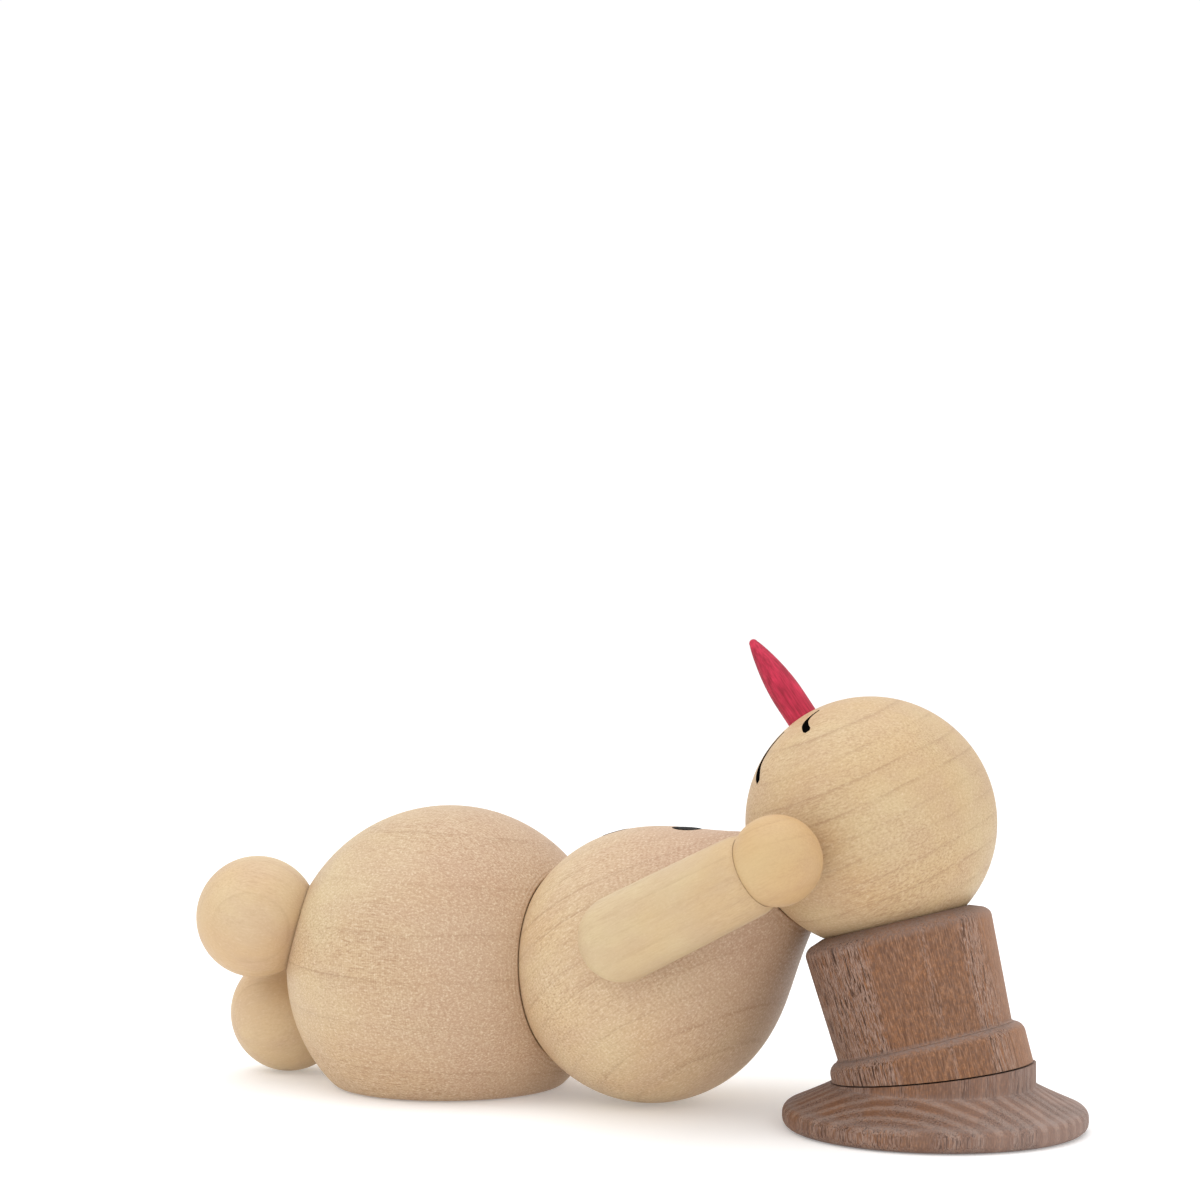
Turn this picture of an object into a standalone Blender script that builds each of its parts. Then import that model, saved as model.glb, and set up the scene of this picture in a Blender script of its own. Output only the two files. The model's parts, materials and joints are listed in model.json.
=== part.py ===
"""Posable turned-wood snowman lying on its back, with its head resting on its top hat.

Metres, +Z up. +X runs from the feet to the head, -Y is the figure's left side.
The balls are seated in cups and held by an elastic cord and wooden dowels.
The model is built at X = 0 under the lower body and moved to the middle of its box at the end.
"""
import math

import bmesh
import bpy
from mathutils import Matrix, Vector

MM = 0.001
GAP = 0.3 * MM  # clearance between seated pieces

# Driving dimensions
BODY_SHIFT_X = -44.08 * MM  # puts the origin under the middle of the figure
LOWER_RADIUS = 34.9 * MM
LOWER_CENTRE = Vector((0.0, 0.0, 24.9)) * MM
TORSO_RADIUS = 28.4 * MM
TORSO_CENTRE = Vector((48.9, 0.0, 28.4)) * MM
HEAD_RADIUS = 25.0 * MM
HEAD_CENTRE = Vector((98.0, 0.0, 59.6)) * MM
SHOULDER = Vector((58.9, 32.3, 37.6)) * MM
HAND_CENTRE = Vector((93.0, 34.2, 54.2)) * MM
HAND_RADIUS = 8.8 * MM
ARM_RADIUS = 8.7 * MM
ARM_SEAT_RADIUS = 9.4 * MM  # cup in the torso that the arm's round end swings in
WRIST_RADIUS = 8.1 * MM
WRIST_EDGE = 2.5 * MM  # rounding at the wrist end
ARM_END_GAP = 3.0 * MM  # from the wrist end to the middle of the hand
FOOT_RADIUS = 13.0 * MM
LEFT_FOOT_CENTRE = Vector((-36.0, -20.4, 36.0)) * MM
RIGHT_FOOT_CENTRE = Vector((-40.3, -1.7, 13.0)) * MM
NECK_RIM_ANGLE = 13.0  # degrees off the neck axis
NECK_BULGE = 24.9 * MM  # how far the egg would stand beyond the torso's ball on the axis
NECK_RISE = 1.2 * MM  # extra height at the neck, which the head's seat cuts away
BULGE_START_ANGLE = 108.0
BULGE_POWER = 6.0
NOSE_LEAN = 36.0  # degrees from vertical towards the feet
NOSE_RADIUS = 3.2 * MM
NOSE_LENGTH = 19.7 * MM
NOSE_TENON = 3.5 * MM
NOSE_TIP_RADIUS = 0.5 * MM
NOSE_TAPER = 0.74  # share of the length over which the nose widens
NOSE_FULLNESS = 0.85
BUTTON_RADIUS = 3.1 * MM
BUTTON_THICKNESS = 1.6 * MM
BUTTON_PROUD = 0.15 * MM
BUTTON_ANGLES = {"upper_button": 74.1, "lower_button": 107.4}  # degrees up from +X
SLOPE_STEP = 0.5  # degrees each way, over which the torso's slope under a button is taken
HAT_X = 111.5 * MM
BRIM_RADIUS = 30.0 * MM
BRIM_RIM = 4.6 * MM
BRIM_EDGE = 1.7 * MM  # rounding of the brim's edge
BRIM_RISE = 8.4 * MM
STUB_RADIUS = 19.8 * MM
CUT_HEIGHT = 10.9 * MM  # where the oblique cut crosses the hat's axis
CUT_ANGLE = math.radians(7.6)
STUB_TOP = 20.0 * MM  # height before the oblique cut
CROWN_OFFSET = -0.45 * MM  # crown's axis from the stub's axis, at the cut
BAND_RADIUS = 19.7 * MM
BAND_FILLET = 2.4 * MM
BAND_LOW = -8.0 * MM  # depth before the oblique cut
BAND_TOP = 6.2 * MM
CROWN_BOTTOM_RADIUS = 17.6 * MM
CROWN_TOP_RADIUS = 18.9 * MM
CROWN_SIDE_TOP = 27.7 * MM
CROWN_TOP = 30.4 * MM
CROWN_SHOULDER_RADIUS = 15.2 * MM
SWIVEL_PIN_ENDS = (-7.0 * MM, 9.0 * MM)  # from the oblique cut, along its normal
SWIVEL_OVERLAP = 5.0 * MM  # how far each pin hole runs past the cut before the halves are cut
DOWEL_RADIUS = 2.0 * MM
SHOULDER_DOWEL_ENDS = (13.0 * MM, 35.0 * MM)  # from the figure's middle plane
SHOULDER_HOLE_START = 12.5 * MM
ARM_HOLE_ENDS = (12.0 * MM, 35.4 * MM)
WRIST_DOWEL_ENDS = (2.0 * MM, 17.7 * MM)  # from the middle of the hand
FOOT_DOWEL_START = 22.0 * MM  # from the middle of the lower body
FOOT_HOLE_START = 20.0 * MM
WRIST_DOWEL_RADIUS = 1.5 * MM
CORD_RADIUS = 1.5 * MM
KNOT_RADIUS = 3.0 * MM
KNOT_CLEARANCE = 0.6 * MM
WAIST_CORD_END_GAP = 3.5 * MM  # from the cord's end to the middle of the lower body
NECK_CORD_END_GAP = 8.0 * MM  # from the cord's end to the middle of the torso
CORD_HOLE_RADIUS = 2.2 * MM
NECK_BORE_RADIUS = 3.5 * MM
NECK_BORE_START = 1.0 * MM
ANCHOR_RADIUS = 4.5 * MM
ANCHOR_ENDS = (-5.7 * MM, 3.0 * MM)  # from the middle of the lower body
WAIST_BORE_END = 30.0 * MM
MAGNET_RADIUS = 5.0 * MM
MAGNET_THICKNESS = 3.0 * MM
MAGNET_RECESS = 0.5 * MM  # magnet's face below the dish
DISC_RECESS = 0.6 * MM  # steel disc's face below the head's surface
BEYOND = 5.0 * MM  # how far a recess cutter stands out of the surface
THROUGH = 45.0 * MM  # far end of a cutter that leaves its piece
WAIST_FLARE = math.radians(17.0)  # lets the torso tilt 16 degrees round its cord
NECK_FLARE = math.radians(8.0)
NECK_FLARE_LEAN = math.radians(7.5)  # half of the head's nod, towards the chin

BALL_STEPS = 36
FOOT_STEPS = 28
SMALL_STEPS = 24
DISC_STEPS = 20
CHAMBER_STEPS = 16
ARM_HOLE_STEPS = 15
PIN_STEPS = 14

WAIST = (TORSO_CENTRE - LOWER_CENTRE).normalized()
NECK = (HEAD_CENTRE - TORSO_CENTRE).normalized()
NOSE = Vector((-math.sin(math.radians(NOSE_LEAN)), 0.0, math.cos(math.radians(NOSE_LEAN))))
CUT_CENTRE = Vector((HAT_X, 0.0, CUT_HEIGHT))
CUT_NORMAL = Vector((-math.sin(CUT_ANGLE), 0.0, math.cos(CUT_ANGLE)))
CROWN_BASE = CUT_CENTRE + Vector((CROWN_OFFSET, 0.0, 0.0))
CROWN_AXIS = Vector((-math.sin(2 * CUT_ANGLE), 0.0, math.cos(2 * CUT_ANGLE)))


def start_scene():
    for obj in list(bpy.data.objects):
        bpy.data.objects.remove(obj, do_unlink=True)
    made = {}
    for name in ("snowman", "cutters"):
        made[name] = bpy.data.collections.new(name)
        bpy.context.scene.collection.children.link(made[name])
    return made["snowman"], made["cutters"]


MODEL, CUTTERS = start_scene()


def material(name, colour, roughness, metallic=0.0):
    mat = bpy.data.materials.get(name) or bpy.data.materials.new(name)
    mat.use_nodes = True
    shader = mat.node_tree.nodes["Principled BSDF"]
    shader.inputs["Base Color"].default_value = (*colour, 1.0)
    shader.inputs["Roughness"].default_value = roughness
    shader.inputs["Metallic"].default_value = metallic
    return mat


def aligned(origin, axis):
    """World matrix whose +Z is the axis, standing at the origin."""
    turn = axis.to_track_quat("Z", "Y").to_matrix().to_4x4()
    return Matrix.Translation(origin) @ turn


def turned(name, profile, origin, axis, steps, mat=None, cutter=False):
    """Solid of revolution: profile is (radius, height) from the top of the axis down to its foot."""
    mesh = bpy.data.meshes.new(name)
    points = [(radius, 0.0, height) for radius, height in profile]
    edges = [(i, i + 1) for i in range(len(points) - 1)]
    mesh.from_pydata(points, edges, [])
    obj = bpy.data.objects.new(name, mesh)
    (CUTTERS if cutter else MODEL).objects.link(obj)
    obj.matrix_world = aligned(origin, axis)
    screw = obj.modifiers.new("turn", "SCREW")
    screw.steps = steps
    screw.render_steps = steps
    screw.axis = "Z"
    screw.use_merge_vertices = True
    screw.merge_threshold = 0.00001
    screw.use_smooth_shade = True
    if cutter:
        obj.hide_render = True
        obj.display_type = "WIRE"
    if mat:
        mesh.materials.append(mat)
    return obj


def arc(radius, first, last, count, rise=0.0, offset=0.0):
    """Points (radius, height) along an arc, angles in degrees down from the axis."""
    out = []
    for i in range(count + 1):
        angle = math.radians(first + (last - first) * i / count)
        out.append((max(0.0, offset + radius * math.sin(angle)), rise + radius * math.cos(angle)))
    return out


def ball(name, centre, radius, axis, steps, mat=None, cutter=False):
    profile = arc(radius, 0, 180, steps // 2)
    profile[0] = (0.0, radius)
    profile[-1] = (0.0, -radius)
    return turned(name, profile, centre, axis, steps, mat, cutter)


def cylinder(name, centre, axis, radius, low, high, mat=None, cutter=False, steps=PIN_STEPS):
    """Cylinder along an axis between two distances from the centre."""
    profile = [(0.0, high), (radius, high), (radius, low), (0.0, low)]
    return turned(name, profile, centre, axis, steps, mat, cutter)


def pin(name, centre, axis, radius, low, high, mat):
    """Dowel with chamfered ends."""
    chamfer = 0.2 * radius
    profile = [
        (0.0, high),
        (radius - chamfer, high),
        (radius, high - chamfer),
        (radius, low + chamfer),
        (radius - chamfer, low),
        (0.0, low),
    ]
    return turned(name, profile, centre, axis, PIN_STEPS, mat)


def cone_cutter(name, apex, axis, ball_radius, half_angle):
    """Flared cord hole opening away from the middle of a ball, through its surface."""
    far = ball_radius + BEYOND / 2
    far_radius = CORD_HOLE_RADIUS + far * math.tan(half_angle)
    profile = [(0.0, far), (far_radius, far), (CORD_HOLE_RADIUS, 0.0), (0.0, 0.0)]
    return turned(name, profile, apex, axis, SMALL_STEPS, cutter=True)


def cut(obj, cutter):
    step = obj.modifiers.new("cut " + cutter.name, "BOOLEAN")
    step.operation = "DIFFERENCE"
    step.solver = "EXACT"
    step.object = cutter


def half_space(name, point, normal, size=0.2):
    """Box cutter that fills everything on the normal's side of a plane."""
    mesh = bpy.data.meshes.new(name)
    shape = bmesh.new()
    bmesh.ops.create_cube(shape, size=size)
    bmesh.ops.translate(shape, vec=(0.0, 0.0, size / 2), verts=shape.verts)
    shape.to_mesh(mesh)
    shape.free()
    obj = bpy.data.objects.new(name, mesh)
    CUTTERS.objects.link(obj)
    obj.matrix_world = aligned(point, normal)
    obj.hide_render = True
    obj.display_type = "WIRE"
    return obj


MAPLE = material("maple", (0.80, 0.62, 0.40), 0.45)
HAT_WOOD = material("smoked_oak", (0.17, 0.10, 0.065), 0.6)
NOSE_PAINT = material("crimson_paint", (0.45, 0.02, 0.07), 0.5)
BLACK_WOOD = material("black_wood", (0.01, 0.01, 0.01), 0.5)
DOWEL_WOOD = material("beech_dowel", (0.66, 0.46, 0.28), 0.6)
ELASTIC = material("elastic_cord", (0.75, 0.72, 0.66), 0.8)
MAGNET = material("nickel_magnet", (0.60, 0.58, 0.55), 0.3, 1.0)
STEEL = material("steel_disc", (0.55, 0.55, 0.56), 0.35, 1.0)


def make_lower_body():
    body = ball("lower_body", LOWER_CENTRE, LOWER_RADIUS, WAIST, BALL_STEPS, MAPLE)
    cut(body, half_space("ground_flat", Vector((0, 0, 0)), Vector((0, 0, -1))))
    seat = ball("waist_seat", TORSO_CENTRE, TORSO_RADIUS + GAP, WAIST, BALL_STEPS, cutter=True)
    cut(body, seat)
    bore = cylinder(
        "waist_bore", LOWER_CENTRE, WAIST, ANCHOR_RADIUS + GAP,
        ANCHOR_ENDS[0] - GAP, WAIST_BORE_END, cutter=True,
    )
    cut(body, bore)


def make_waist_cord():
    pin("waist_anchor", LOWER_CENTRE, WAIST, ANCHOR_RADIUS, *ANCHOR_ENDS, DOWEL_WOOD)
    length = (TORSO_CENTRE - LOWER_CENTRE).length - WAIST_CORD_END_GAP
    make_cord("waist_cord", TORSO_CENTRE, -WAIST, length)


def make_cord(name, knot_centre, away, length):
    """Elastic cord with a round knot at the middle of the ball that it holds."""
    knot = arc(KNOT_RADIUS, 0, 150, 8)
    knot[0] = (0.0, KNOT_RADIUS)
    profile = knot + [(CORD_RADIUS, -length), (0.0, -length)]
    turned(name, profile, knot_centre, -away, PIN_STEPS, ELASTIC)


def torso_radius(angle):
    """Distance from the torso's centre to its surface, for an angle off the neck axis."""
    if angle >= BULGE_START_ANGLE:
        return TORSO_RADIUS
    share = (BULGE_START_ANGLE - angle) / BULGE_START_ANGLE
    return TORSO_RADIUS + NECK_BULGE * share**BULGE_POWER


def mirrored(point, side):
    return Vector((point.x, side * point.y, point.z))


def make_torso():
    top = torso_radius(NECK_RIM_ANGLE) * math.cos(math.radians(NECK_RIM_ANGLE)) + NECK_RISE
    rim = torso_radius(NECK_RIM_ANGLE) * math.sin(math.radians(NECK_RIM_ANGLE))
    profile = [(0.0, top), (rim - NECK_RISE, top)]
    count = BALL_STEPS // 2
    for i in range(count + 1):
        angle = NECK_RIM_ANGLE + (180.0 - NECK_RIM_ANGLE) * i / count
        radius = torso_radius(angle)
        turn = math.radians(angle)
        profile.append((max(0.0, radius * math.sin(turn)), radius * math.cos(turn)))
    profile[-1] = (0.0, -TORSO_RADIUS)
    body = turned("torso", profile, TORSO_CENTRE, NECK, BALL_STEPS, MAPLE)
    seat = ball("head_seat", HEAD_CENTRE, HEAD_RADIUS + GAP, NECK, BALL_STEPS, cutter=True)
    cut(body, seat)
    cut(body, cone_cutter("waist_flare", TORSO_CENTRE, -WAIST, TORSO_RADIUS, WAIST_FLARE))
    chamber_radius = KNOT_RADIUS + KNOT_CLEARANCE
    cut(body, ball("knot_chamber", TORSO_CENTRE, chamber_radius, NECK, CHAMBER_STEPS, cutter=True))
    bore = cylinder(
        "neck_bore", TORSO_CENTRE, NECK, NECK_BORE_RADIUS, NECK_BORE_START, THROUGH, cutter=True
    )
    cut(body, bore)
    for side, name in ((-1, "left"), (1, "right")):
        shoulder = Vector((SHOULDER.x, 0.0, SHOULDER.z))
        outward = Vector((0.0, side, 0.0))
        hole = cylinder(
            name + "_shoulder_hole", shoulder, outward, DOWEL_RADIUS + GAP,
            SHOULDER_HOLE_START, THROUGH, cutter=True,
        )
        cut(body, hole)
        cup = ball(
            name + "_arm_seat", mirrored(SHOULDER, side), ARM_SEAT_RADIUS, outward, SMALL_STEPS,
            cutter=True,
        )
        cut(body, cup)
    for name, degrees in BUTTON_ANGLES.items():
        middle, normal = button_place(degrees)
        recess = cylinder(
            name + "_recess", middle, normal, BUTTON_RADIUS + GAP,
            -BUTTON_THICKNESS - GAP, BEYOND, cutter=True, steps=DISC_STEPS,
        )
        cut(body, recess)


def torso_point(degrees):
    """Point on the torso's outline on its middle line, by the angle up from +X."""
    direction = Vector((math.cos(math.radians(degrees)), 0.0, math.sin(math.radians(degrees))))
    return TORSO_CENTRE + direction * torso_radius(math.degrees(direction.angle(NECK)))


def button_place(degrees):
    """Point on the torso's surface at a button's middle, and the surface's normal there."""
    slope = torso_point(degrees + SLOPE_STEP) - torso_point(degrees - SLOPE_STEP)
    return torso_point(degrees), Vector((0.0, 1.0, 0.0)).cross(slope).normalized()


def make_buttons():
    for name, degrees in BUTTON_ANGLES.items():
        middle, normal = button_place(degrees)
        cylinder(
            name, middle, normal, BUTTON_RADIUS, -BUTTON_THICKNESS, BUTTON_PROUD, BLACK_WOOD,
            steps=DISC_STEPS,
        )


def make_head():
    head = ball("head", HEAD_CENTRE, HEAD_RADIUS, NECK, BALL_STEPS, MAPLE)
    flare_axis = Matrix.Rotation(NECK_FLARE_LEAN, 3, "Y") @ -NECK
    cut(head, cone_cutter("neck_flare", HEAD_CENTRE, flare_axis, HEAD_RADIUS, NECK_FLARE))
    chamber_radius = KNOT_RADIUS + KNOT_CLEARANCE
    cut(head, ball("head_chamber", HEAD_CENTRE, chamber_radius, NECK, CHAMBER_STEPS, cutter=True))
    socket = cylinder(
        "nose_socket", HEAD_CENTRE, NOSE, NOSE_RADIUS + GAP,
        HEAD_RADIUS - NOSE_TENON - GAP, HEAD_RADIUS + BEYOND, cutter=True, steps=DISC_STEPS,
    )
    cut(head, socket)
    disc_top = HEAD_RADIUS - DISC_RECESS
    disc_low = disc_top - MAGNET_THICKNESS
    recess = cylinder(
        "disc_recess", HEAD_CENTRE, -CROWN_AXIS, MAGNET_RADIUS + GAP,
        disc_low - GAP, HEAD_RADIUS + BEYOND, cutter=True, steps=DISC_STEPS,
    )
    cut(head, recess)
    cylinder(
        "head_disc", HEAD_CENTRE, -CROWN_AXIS, MAGNET_RADIUS, disc_low, disc_top, STEEL,
        steps=DISC_STEPS,
    )
    neck_length = (HEAD_CENTRE - TORSO_CENTRE).length - NECK_CORD_END_GAP
    make_cord("neck_cord", HEAD_CENTRE, -NECK, neck_length)


def make_nose():
    """Bullet-shaped nose: a straight tenon in the head, then an ogive to a rounded tip."""
    count = 12
    profile = [(0.0, HEAD_RADIUS + NOSE_LENGTH)]
    for i in range(1, count + 1):
        share = i / count
        swell = math.sin(min(1.0, share / NOSE_TAPER) * math.pi / 2) ** NOSE_FULLNESS
        radius = NOSE_TIP_RADIUS + (NOSE_RADIUS - NOSE_TIP_RADIUS) * swell
        profile.append((radius, HEAD_RADIUS + NOSE_LENGTH * (1 - share)))
    low = HEAD_RADIUS - NOSE_TENON
    profile += [(NOSE_RADIUS, low), (0.0, low)]
    turned("nose", profile, HEAD_CENTRE, NOSE, DISC_STEPS, NOSE_PAINT)


def make_arm(side, name):
    shoulder = mirrored(SHOULDER, side)
    hand_centre = mirrored(HAND_CENTRE, side)
    along = (hand_centre - shoulder).normalized()
    reach = (hand_centre - shoulder).length
    end = reach - ARM_END_GAP
    edge_middle = WRIST_RADIUS - WRIST_EDGE
    profile = [(0.0, end)] + arc(WRIST_EDGE, 0, 90, 3, end - WRIST_EDGE, edge_middle)
    lower = arc(ARM_RADIUS, 90, 180, 9)
    lower[-1] = (0.0, -ARM_RADIUS)
    profile += lower
    arm = turned(name + "_arm", profile, shoulder, along, SMALL_STEPS, MAPLE)
    seat = ball(name + "_hand_seat", hand_centre, HAND_RADIUS + GAP, along, SMALL_STEPS, cutter=True)
    cut(arm, seat)
    outward = Vector((0.0, side, 0.0))
    middle = Vector((shoulder.x, 0.0, shoulder.z))
    hole = cylinder(
        name + "_arm_hole", middle, outward, DOWEL_RADIUS + GAP, *ARM_HOLE_ENDS,
        cutter=True, steps=ARM_HOLE_STEPS,
    )
    cut(arm, hole)
    wrist_hole_radius = WRIST_DOWEL_RADIUS + GAP
    wrist_hole_end = WRIST_DOWEL_ENDS[1] + GAP
    wrist_hole = cylinder(
        name + "_wrist_hole", hand_centre, -along, wrist_hole_radius, 0.0, wrist_hole_end,
        cutter=True,
    )
    cut(arm, wrist_hole)
    pin(name + "_shoulder_dowel", middle, outward, DOWEL_RADIUS, *SHOULDER_DOWEL_ENDS, DOWEL_WOOD)
    hand = ball(name + "_hand", hand_centre, HAND_RADIUS, along, SMALL_STEPS, MAPLE)
    hand_hole = cylinder(
        name + "_hand_hole", hand_centre, -along, wrist_hole_radius,
        WRIST_DOWEL_ENDS[0] - GAP, HAND_RADIUS + BEYOND, cutter=True,
    )
    cut(hand, hand_hole)
    pin(
        name + "_wrist_dowel", hand_centre, -along, WRIST_DOWEL_RADIUS, *WRIST_DOWEL_ENDS,
        DOWEL_WOOD,
    )


def make_foot(name, centre):
    away = (centre - LOWER_CENTRE).normalized()
    distance = (centre - LOWER_CENTRE).length
    body = bpy.data.objects["lower_body"]
    cut(body, ball(name + "_seat", centre, FOOT_RADIUS + GAP, away, FOOT_STEPS, cutter=True))
    hole_radius = DOWEL_RADIUS + GAP
    body_hole = cylinder(
        name + "_body_hole", LOWER_CENTRE, away, hole_radius,
        FOOT_DOWEL_START - GAP, distance, cutter=True,
    )
    cut(body, body_hole)
    foot = ball(name, centre, FOOT_RADIUS, away, FOOT_STEPS, MAPLE)
    foot_hole = cylinder(
        name + "_hole", LOWER_CENTRE, away, hole_radius, FOOT_HOLE_START, distance + GAP,
        cutter=True,
    )
    cut(foot, foot_hole)
    pin(name + "_dowel", LOWER_CENTRE, away, DOWEL_RADIUS, FOOT_DOWEL_START, distance, DOWEL_WOOD)


def quarter_round(radius, low, edge):
    """Rounded outer edge of a profile, from its top to its side, over a low point."""
    return arc(edge, 0, 90, 3, low, radius - edge)


def make_brim():
    rim = quarter_round(BRIM_RADIUS, BRIM_RIM - BRIM_EDGE, BRIM_EDGE)
    rim += [(radius, BRIM_RIM - height) for radius, height in reversed(rim)]
    profile = [
        (0.0, STUB_TOP),
        (STUB_RADIUS, STUB_TOP),
        (STUB_RADIUS, BRIM_RISE),
        (STUB_RADIUS + 0.8 * MM, BRIM_RISE - 0.5 * MM),
    ]
    profile += rim + [(0.0, 0.0)]
    ground = Vector((HAT_X, 0.0, 0.0))
    brim = turned("hat_brim", profile, ground, Vector((0.0, 0.0, 1.0)), BALL_STEPS, HAT_WOOD)
    cut(brim, half_space("brim_cut", CUT_CENTRE - CUT_NORMAL * GAP / 2, CUT_NORMAL))
    return brim


def make_crown():
    profile = [
        (0.0, CROWN_TOP),
        (CROWN_SHOULDER_RADIUS - 1.0 * MM, CROWN_TOP),
        (CROWN_SHOULDER_RADIUS + 0.6 * MM, CROWN_TOP - 0.7 * MM),
        (CROWN_TOP_RADIUS - 1.5 * MM, CROWN_SIDE_TOP + 1.3 * MM),
        (CROWN_TOP_RADIUS - 0.4 * MM, CROWN_SIDE_TOP + 0.6 * MM),
        (CROWN_TOP_RADIUS, CROWN_SIDE_TOP - 0.4 * MM),
        (CROWN_BOTTOM_RADIUS, BAND_TOP),
    ]
    profile += quarter_round(BAND_RADIUS, BAND_TOP - BAND_FILLET, BAND_FILLET)
    profile += [(BAND_RADIUS, BAND_LOW), (0.0, BAND_LOW)]
    crown = turned("hat_crown", profile, CROWN_BASE, CROWN_AXIS, BALL_STEPS, HAT_WOOD)
    cut(crown, half_space("crown_cut", CUT_CENTRE + CUT_NORMAL * GAP / 2, -CUT_NORMAL))
    dish_radius = HEAD_RADIUS + GAP
    cut(crown, ball("head_dish", HEAD_CENTRE, dish_radius, CROWN_AXIS, BALL_STEPS, cutter=True))
    return crown


def make_hat():
    brim = make_brim()
    crown = make_crown()
    pin_low, pin_high = SWIVEL_PIN_ENDS
    pin("hat_swivel_pin", CUT_CENTRE, CUT_NORMAL, DOWEL_RADIUS, pin_low, pin_high, STEEL)
    for piece, low, high in (
        (brim, pin_low - GAP, SWIVEL_OVERLAP),
        (crown, -SWIVEL_OVERLAP, pin_high + GAP),
    ):
        hole = cylinder(
            piece.name + "_pin_hole", CUT_CENTRE, CUT_NORMAL, DOWEL_RADIUS + GAP, low, high,
            cutter=True,
        )
        cut(piece, hole)
    head_height = (HEAD_CENTRE - CROWN_BASE).dot(CROWN_AXIS)
    magnet_top = head_height - HEAD_RADIUS - GAP - MAGNET_RECESS
    magnet_low = magnet_top - MAGNET_THICKNESS
    recess = cylinder(
        "magnet_recess", CROWN_BASE, CROWN_AXIS, MAGNET_RADIUS + GAP, magnet_low - GAP, THROUGH,
        cutter=True, steps=DISC_STEPS,
    )
    cut(crown, recess)
    cylinder(
        "hat_magnet", CROWN_BASE, CROWN_AXIS, MAGNET_RADIUS, magnet_low, magnet_top, MAGNET,
        steps=DISC_STEPS,
    )


def place_in_frame():
    """Moves everything so that the origin is under the middle of the figure's box."""
    for obj in bpy.data.objects:
        obj.matrix_world = Matrix.Translation((BODY_SHIFT_X, 0.0, 0.0)) @ obj.matrix_world


make_lower_body()
make_waist_cord()
make_torso()
make_buttons()
make_head()
make_nose()
make_arm(-1, "left")
make_arm(1, "right")
make_foot("left_foot", LEFT_FOOT_CENTRE)
make_foot("right_foot", RIGHT_FOOT_CENTRE)
make_hat()
place_in_frame()
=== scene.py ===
import json
import math

import bmesh
import bpy
import numpy as np
from mathutils import Matrix, Vector
from mathutils.geometry import intersect_line_line


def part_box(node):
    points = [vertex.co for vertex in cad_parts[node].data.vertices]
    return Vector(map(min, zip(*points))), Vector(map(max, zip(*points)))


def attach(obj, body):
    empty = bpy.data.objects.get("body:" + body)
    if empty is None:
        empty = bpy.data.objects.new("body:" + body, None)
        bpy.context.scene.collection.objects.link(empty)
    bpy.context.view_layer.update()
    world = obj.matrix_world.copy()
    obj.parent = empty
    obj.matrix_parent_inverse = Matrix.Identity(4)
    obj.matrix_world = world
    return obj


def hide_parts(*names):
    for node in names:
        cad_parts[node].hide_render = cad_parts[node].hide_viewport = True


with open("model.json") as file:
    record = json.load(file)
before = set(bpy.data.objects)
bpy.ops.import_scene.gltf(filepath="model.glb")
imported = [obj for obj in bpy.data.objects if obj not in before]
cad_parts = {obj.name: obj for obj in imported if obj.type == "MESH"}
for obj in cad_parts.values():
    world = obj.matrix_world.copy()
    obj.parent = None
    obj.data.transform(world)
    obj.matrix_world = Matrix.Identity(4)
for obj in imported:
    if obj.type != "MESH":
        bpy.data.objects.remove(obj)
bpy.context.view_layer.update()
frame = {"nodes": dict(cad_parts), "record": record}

MM = 0.001
GAP = 0.3 * MM  # clearance round pins, plugs and hat parts
SEAT_GAP = 0.12 * MM  # clearance between a ball and its seat
WRIST_GAP = 0.08 * MM  # clearance between a hand and its arm's cup

# ---------------------------------------------------------------- places, read from the frame
JOINTS = {joint["name"]: joint for joint in frame["record"]["behaviour"]["joints"]}


def joint_at(name):
    return Vector(JOINTS[name]["pos_m"])


def joint_axis(name):
    return Vector(JOINTS[name]["axis"]).normalized()


def middle(node):
    low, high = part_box(node)
    return (Vector(low) + Vector(high)) / 2


def half_size(node):
    low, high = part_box(node)
    return (Vector(high) - Vector(low)) / 2


WAIST = joint_axis("waist_twist")
NECK = joint_axis("neck_turn")
CROWN_AXIS = -joint_axis("hat_lift_off")
CUT_NORMAL = joint_axis("hat_swivel")
TORSO = joint_at("waist_bend")
HEAD = joint_at("neck_turn")
CUT_CENTRE = joint_at("hat_swivel")
LOWER_RADIUS = half_size("lower_body").y
FOOT = {name: joint_at(name + "_spin") for name in ("left_foot", "right_foot")}
LOWER = intersect_line_line(TORSO, TORSO - WAIST, FOOT["left_foot"],
                            FOOT["left_foot"] - joint_axis("left_foot_spin"))[0]
HEAD_RADIUS = half_size("head").y
TORSO_RADIUS = half_size("torso").y
HAND_RADIUS = half_size("left_hand").z
FOOT_RADIUS = half_size("left_foot").z
BRIM_RADIUS = half_size("hat_brim").y
NOSE_TIP = Vector((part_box("nose")[0][0], 0.0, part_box("nose")[1][2]))
NOSE = (NOSE_TIP - HEAD).normalized()

# ---------------------------------------------------------------- shape helpers
def aligned(origin, axis):
    """World matrix whose +Z is the axis, standing at the origin."""
    return Matrix.Translation(origin) @ axis.to_track_quat("Z", "Y").to_matrix().to_4x4()


def link(name, mesh):
    obj = bpy.data.objects.new(name, mesh)
    bpy.context.scene.collection.objects.link(obj)
    return obj


def built(name, shape):
    """Turns a finished bmesh into an object in the scene."""
    mesh = bpy.data.meshes.new(name)
    shape.to_mesh(mesh)
    shape.free()
    return link(name, mesh)


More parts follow.
